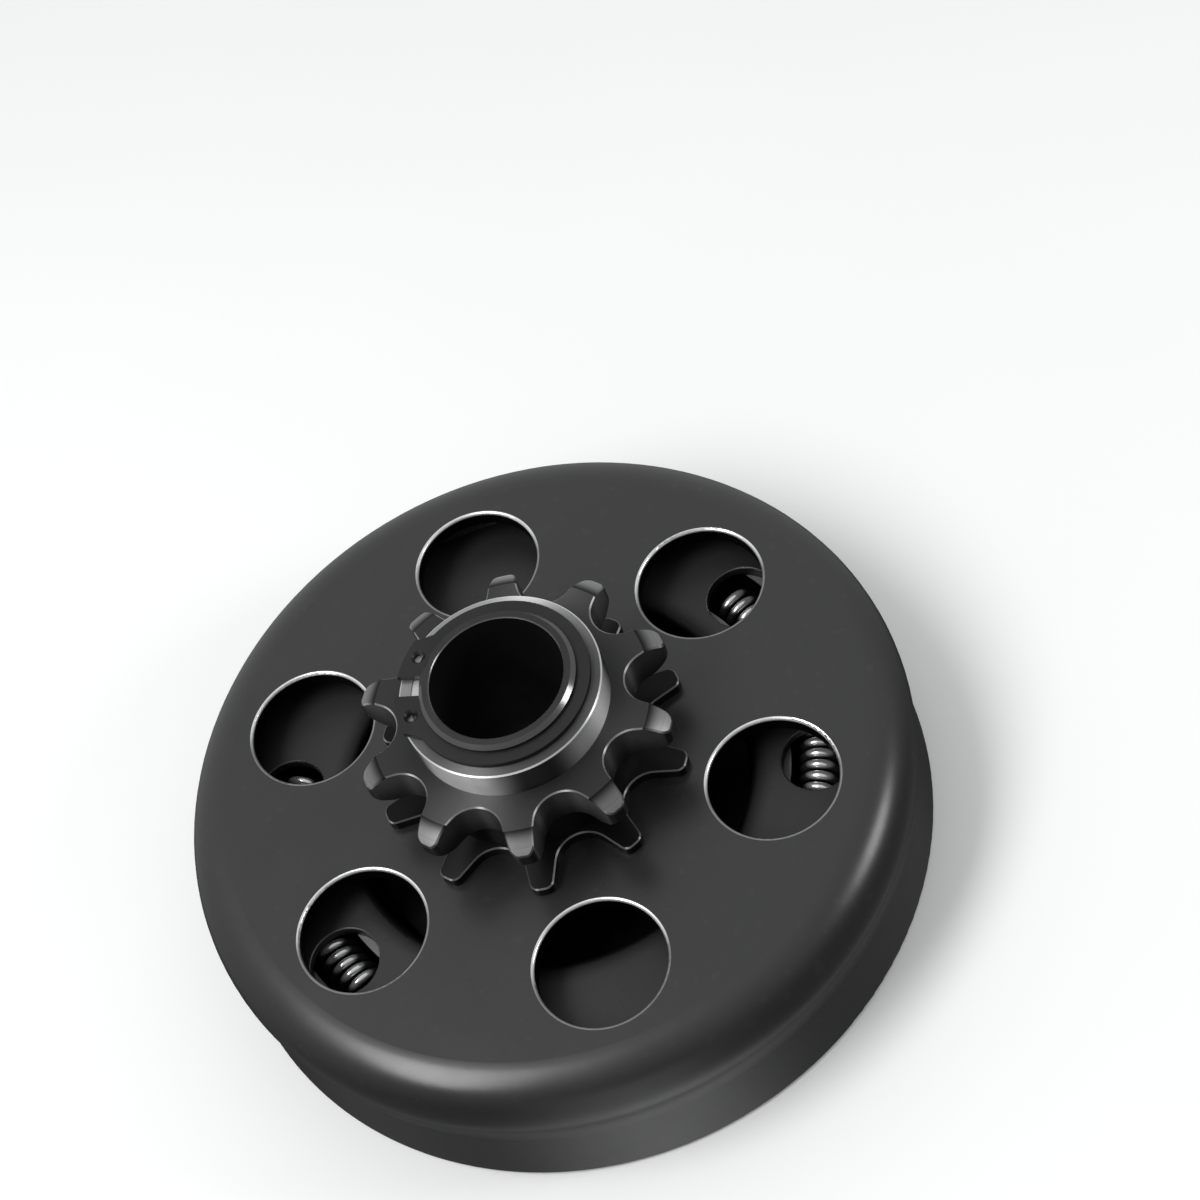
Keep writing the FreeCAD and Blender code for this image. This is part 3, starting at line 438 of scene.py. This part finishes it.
def shoe_finish():
    """Sintered metal with pores; pale metal with a painted highlight on ledges and lips, painted shade
    in its channels and towards its inner side.
    """
    metallic = 0.5
    f = Finish("steamed_sinter_metal", Metallic=metallic)
    cloud = f.noise(0.009, 4.0, 0.6)
    pores = f.ramp(f.noise(0.00022, 3.0, 0.7), 0.60, 0.72)
    base = f.mix(cloud, 0.014, 0.027)
    base = f.mix(f.product(pores, 0.6), base, 0.0042)
    r, _, z = f.polar()
    rise = f.rise()
    # Metal with a painted highlight: the ledges in the spring pockets and the slanted lips of the front
    # face are made pale and more metallic.
    ledge = f.product(f.band(z, LEDGE * MM, 0.05 * MM, 0.03 * MM), f.ramp(rise, 0.9, 0.95))
    lip = f.product(f.above(z, SHOE_LIP, SHOE_LIP + 0.04), f.band(rise, 0.52, 0.22, 0.03))
    bare_and_highlight = f.math("MAXIMUM", f.product(ledge, 0.28), f.product(lip, 0.35))
    # Painted shade: the spring channels and the shoes towards their inner side are made near black,
    # more metallic and rougher.
    channel_shade = f.product(f.below(z, CHANNEL_DARK_FROM, CHANNEL_DARK_TO), f.ramp(rise, -0.6, -0.5))
    deep_shade = f.math("MAXIMUM", channel_shade, f.below(r, SHOE_INSIDE, SHOE_UNSHADED_FROM))
    f.colour(f.mix(bare_and_highlight, f.mix(deep_shade, base, 0.005), 0.45))
    f.metal(f.math("ADD", metallic, f.product(f.math("MAXIMUM", bare_and_highlight, deep_shade), 0.5)))
    dull = f.ramp(cloud, 0.3, 0.7, 0.38, 0.47)
    f.rough(f.math("ADD", dull, f.product(deep_shade, 0.2)))
    f.relief(f.product(pores, -1.0), 0.000012)
    f.relief(f.noise(0.0006, 2.0, 0.5), 0.000005)
    return f


def lining_finish():
    """Moulded friction material with small light chips in it."""
    f = Finish("friction_lining")
    cloud = f.noise(0.0015, 4.0, 0.7)
    chips = f.node("ShaderNodeTexVoronoi", feature="F1")
    f.link(f.place, chips.inputs["Vector"])
    chips.inputs["Scale"].default_value = 1400
    flake = f.ramp(chips.outputs["Distance"], 0.18, 0.30, 1.0, 0.0)
    base = f.mix(cloud, (0.040, 0.036, 0.032), (0.085, 0.075, 0.066))
    f.colour(f.mix(f.product(flake, 0.6), base, (0.20, 0.16, 0.115)))
    f.rough(f.ramp(cloud, 0.3, 0.7, 0.78, 0.92))
    f.relief(cloud, 0.00003)
    return f


def wire_finish():
    """Oiled wire, with a painted highlight band on the front of the coils."""
    f = Finish("oiled_spring_wire", Metallic=0.75)
    streak = f.noise(0.0004, 3.0, 0.6)
    _, _, z = f.polar()
    # Painted highlight: a pale band along the tops of the coils stands in for their glints.
    painted_highlight = f.above(z, WIRE_GLINT_FROM, WIRE_GLINT_TO)
    f.colour(f.mix(painted_highlight, f.mix(streak, 0.030, 0.050), f.mix(streak, 0.48, 0.66)))
    f.rough(f.ramp(f.noise(0.003, 2.0, 0.5), 0.3, 0.7, 0.16, 0.20))
    f.relief(streak, 0.000002)
    return f


# CAD nodes whose shape is right get their finish

paint(nodes["drum"], drum_finish())
paint(nodes["sprocket"], sprocket_finish())
paint(nodes["bushing"], bushing_finish())
paint(nodes["hub"], hub_finish())
ring_steel = turned_steel("phosphated_spring_steel", 0.016, 0.030, 0.36, 0.46, 0.8)
washer_steel = washer_finish()
shoe_metal = shoe_finish()
lining = lining_finish()
for name, finish in (
    ("front_snap_ring", ring_steel),
    ("back_snap_ring", ring_steel),
    ("thrust_washer", washer_steel),
    ("back_plate", washer_steel),
    ("shoe_a", shoe_metal),
    ("shoe_b", shoe_metal),
    ("lining_a", lining),
    ("lining_b", lining),
):
    paint(nodes[name], finish)


# Wound springs in place of the plain bars, in millimetres and degrees

COIL_ARC = 39.5
COIL_LEVEL = 11.2
COIL_REACH = 28.0
COIL_TURNS = 21.0
COIL_MEAN = 2.73
TURN_POINTS = 30
WIRE = 0.715
WIRE_SIDES = 12
LEG_END = 5.2
LEG_TURN = 27.0
LEG_EASE = 3.2
LEG_EASE_POINTS = 12
LEG_STRAIGHT_POINTS = 4
DOME = ((0.45, 0.62), (0.25, 0.9))
SPRINGS = (("a", -26.5), ("b", 153.5))


def spring_path(middle):
    """Centre line of one spring's wire: leg, coil, leg."""

    def at(turn, along_r, up):
        a = math.radians(middle + turn)
        r = COIL_ARC + along_r
        return Vector((r * math.cos(a), r * math.sin(a), COIL_LEVEL + up))

    def leg(way):
        """Bends from the coil's last turn to the middle of the coil, then goes straight down."""
        drop = []
        for step in range(1, LEG_EASE_POINTS + 1):
            t = step / LEG_EASE_POINTS
            ease = t * t * (3 - 2 * t)
            turn = way * (COIL_REACH + (LEG_TURN - COIL_REACH) * ease)
            drop.append(at(turn, -way * COIL_MEAN * (1 - ease), -LEG_EASE * t))
        straight = COIL_LEVEL - LEG_END - LEG_EASE
        for step in range(1, LEG_STRAIGHT_POINTS + 1):
            t = step / LEG_STRAIGHT_POINTS
            drop.append(at(way * LEG_TURN, 0.0, -LEG_EASE - straight * t))
        return drop

    coil = []
    count = int(COIL_TURNS * TURN_POINTS)
    for index in range(count + 1):
        t = index / count
        psi = 2 * math.pi * COIL_TURNS * t
        turn = -COIL_REACH + 2 * COIL_REACH * t
        coil.append(at(turn, COIL_MEAN * math.cos(psi), COIL_MEAN * math.sin(psi)))
    return list(reversed(leg(-1))) + coil + leg(1)


def tube(name, path, r, sides):
    """A round wire swept along the path. DOME has how far out and how wide, in shares of r."""
    tangents = []
    for index in range(len(path)):
        before = path[max(index - 1, 0)]
        after = path[min(index + 1, len(path) - 1)]
        tangents.append((after - before).normalized())
    stations = [(path[0] - tangents[0] * r * out, share) for out, share in DOME]
    stations += [(point, 1.0) for point in path]
    stations += [(path[-1] + tangents[-1] * r * out, share) for out, share in reversed(DOME)]
    ways = [tangents[0]] * 2 + tangents + [tangents[-1]] * 2
    normal = tangents[0].orthogonal().normalized()
    bm = bmesh.new()
    rings = []
    for (point, share), way in zip(stations, ways):
        normal = (normal - way * normal.dot(way)).normalized()
        side = way.cross(normal)
        ring = []
        for k in range(sides):
            a = 2 * math.pi * k / sides
            outward = normal * math.cos(a) + side * math.sin(a)
            ring.append(bm.verts.new((point + outward * r * share) * MM))
        rings.append(ring)
    for first, second in zip(rings, rings[1:]):
        for k in range(sides):
            following = (k + 1) % sides
            bm.faces.new((first[k], first[following], second[following], second[k]))
    bm.faces.new(list(reversed(rings[0])))
    bm.faces.new(rings[-1])
    bmesh.ops.recalc_face_normals(bm, faces=bm.faces)
    for face in bm.faces:
        face.smooth = True
    return placed(name, bm)


def placed(name, bm):
    """Puts a finished mesh into the scene."""
    mesh = bpy.data.meshes.new(name)
    bm.to_mesh(mesh)
    bm.free()
    obj = bpy.data.objects.new(name, mesh)
    scene.collection.objects.link(obj)
    return obj


wire = wire_finish()
for letter, middle in SPRINGS:
    coil = tube("coil_" + letter, spring_path(middle), WIRE, WIRE_SIDES)
    paint(coil, wire)
    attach(coil, "hub_group")
    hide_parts("spring_" + letter)


# Floor, in metres. Reflections don't show it, as in a studio with a dark surround below.

FLOOR_HALF = 9.0
FLOOR_DROP = 0.0001


def floor():
    bm = bmesh.new()
    bmesh.ops.create_grid(bm, x_segments=8, y_segments=8, size=FLOOR_HALF)
    obj = placed("floor", bm)
    obj.location.z = -FLOOR_DROP
    f = Finish("pale_floor")
    f.colour(f.mix(f.noise(0.05, 3.0, 0.5), 0.67, 0.70))
    f.rough(0.7)
    paint(obj, f)
    obj.visible_glossy = False


floor()


# Two soft lights, each over the stretch of the drum's round corner that it brightens

LIGHT_DISTANCE = 0.6


def softbox(name, target, way, along, length, width, power):
    """An elliptic light that shines at target, in millimetres, from the direction way.

    Its long axis lies along the direction along. Length and width are in metres.
    """
    data = bpy.data.lights.new(name, "AREA")
    data.shape = "ELLIPSE"
    data.size = length
    data.size_y = width
    data.energy = power
    obj = bpy.data.objects.new(name, data)
    scene.collection.objects.link(obj)
    way = Vector(way).normalized()
    long_axis = Vector(along)
    long_axis = (long_axis - way * long_axis.dot(way)).normalized()
    turn = Matrix((long_axis, way.cross(long_axis), way)).transposed()
    obj.matrix_world = Matrix.Translation(Vector(target) * MM + way * LIGHT_DISTANCE) @ turn.to_4x4()


softbox(
    "left_light",
    target=(-43.6, -23.2, 23.3),
    way=(-0.485, 0.168, 0.858),
    along=(-0.83, -0.44, -0.34),
    length=0.53,
    width=0.23,
    power=3.25,
)
softbox(
    "right_light",
    target=(20.0, -47.1, 22.3),
    way=(0.674, -0.576, 0.464),
    along=(0.3, -0.7, -0.6),
    length=0.22,
    width=0.20,
    power=1.25,
)


# Sky of the studio: light from above and behind, dark below, and a soft card low in front

SKY_BRIGHTEST = (0.19, 0.51, 0.84)
SKY_DARK = 0.16
SKY_LIGHT = 0.95
SKY_TINT = (0.98, 0.99, 1.0, 1.0)
CARD_WAY = (-0.625, -0.78, 0.0)
CARD_ACROSS = (0.78, -0.625, 0.0)
CARD_STRENGTH = 0.95
BACK_WAY = (0.44, 0.898, 0.0)
BACK_SHADE = 0.7
DOWN = (0.0, 0.0, -1.0)


def studio_sky():
    """Sets the strength of the background from the direction alone."""
    world = bpy.data.worlds.new("studio")
    scene.world = world
    world.use_nodes = True
    sky = Graph(world.node_tree)
    place = sky.node("ShaderNodeTexCoord").outputs["Generated"]

    def share(way):
        """How far a direction goes along way, from -1 to 1."""
        made = sky.node("ShaderNodeVectorMath", operation="DOT_PRODUCT")
        sky.link(place, made.inputs[0])
        made.inputs[1].default_value = way
        return made.outputs["Value"]

    level = sky.ramp(share(SKY_BRIGHTEST), -0.3, 0.85, SKY_DARK, SKY_LIGHT, smooth=False)
    low_back = sky.product(sky.ramp(share(BACK_WAY), 0.1, 0.4), sky.ramp(share(DOWN), 0.5, 0.8))
    level = sky.product(level, sky.math("SUBTRACT", 1.0, sky.product(low_back, BACK_SHADE)))
    card = sky.product(
        sky.ramp(sky.math("ABSOLUTE", share(CARD_ACROSS)), 0.47, 0.04),
        sky.ramp(share(DOWN), -0.45, -0.15),
        sky.ramp(share(CARD_WAY), -0.05, 0.62),
        CARD_STRENGTH,
    )
    background = sky.tree.nodes["Background"]
    sky.link(sky.math("ADD", level, card), background.inputs["Strength"])
    background.inputs["Color"].default_value = SKY_TINT


studio_sky()
scene.view_settings.view_transform = "Standard"


# Camera fitted to the photograph: its place in millimetres, its axes, and its focal length in
# pixels of the photograph

EYE = (-68.421, -178.808, 318.742)
EYE_RIGHT = (0.67759, -0.69722, -0.234)
EYE_BACK = (-0.25547, -0.52151, 0.8141)
FOCAL_PIXELS = 2455.6
FRAME_PIXELS = 1200.0
SENSOR = 36.0

camera_data = bpy.data.cameras.new("camera")
camera_data.sensor_width = SENSOR
camera_data.sensor_fit = "HORIZONTAL"
camera_data.lens = SENSOR * FOCAL_PIXELS / FRAME_PIXELS
camera_data.clip_start = 0.01
camera_data.clip_end = 20.0
camera = bpy.data.objects.new("camera", camera_data)
scene.collection.objects.link(camera)
back = Vector(EYE_BACK).normalized()
up = back.cross(Vector(EYE_RIGHT)).normalized()
turn = Matrix((up.cross(back), up, back)).transposed()
camera.matrix_world = Matrix.Translation(Vector(EYE) * MM) @ turn.to_4x4()
scene.camera = camera
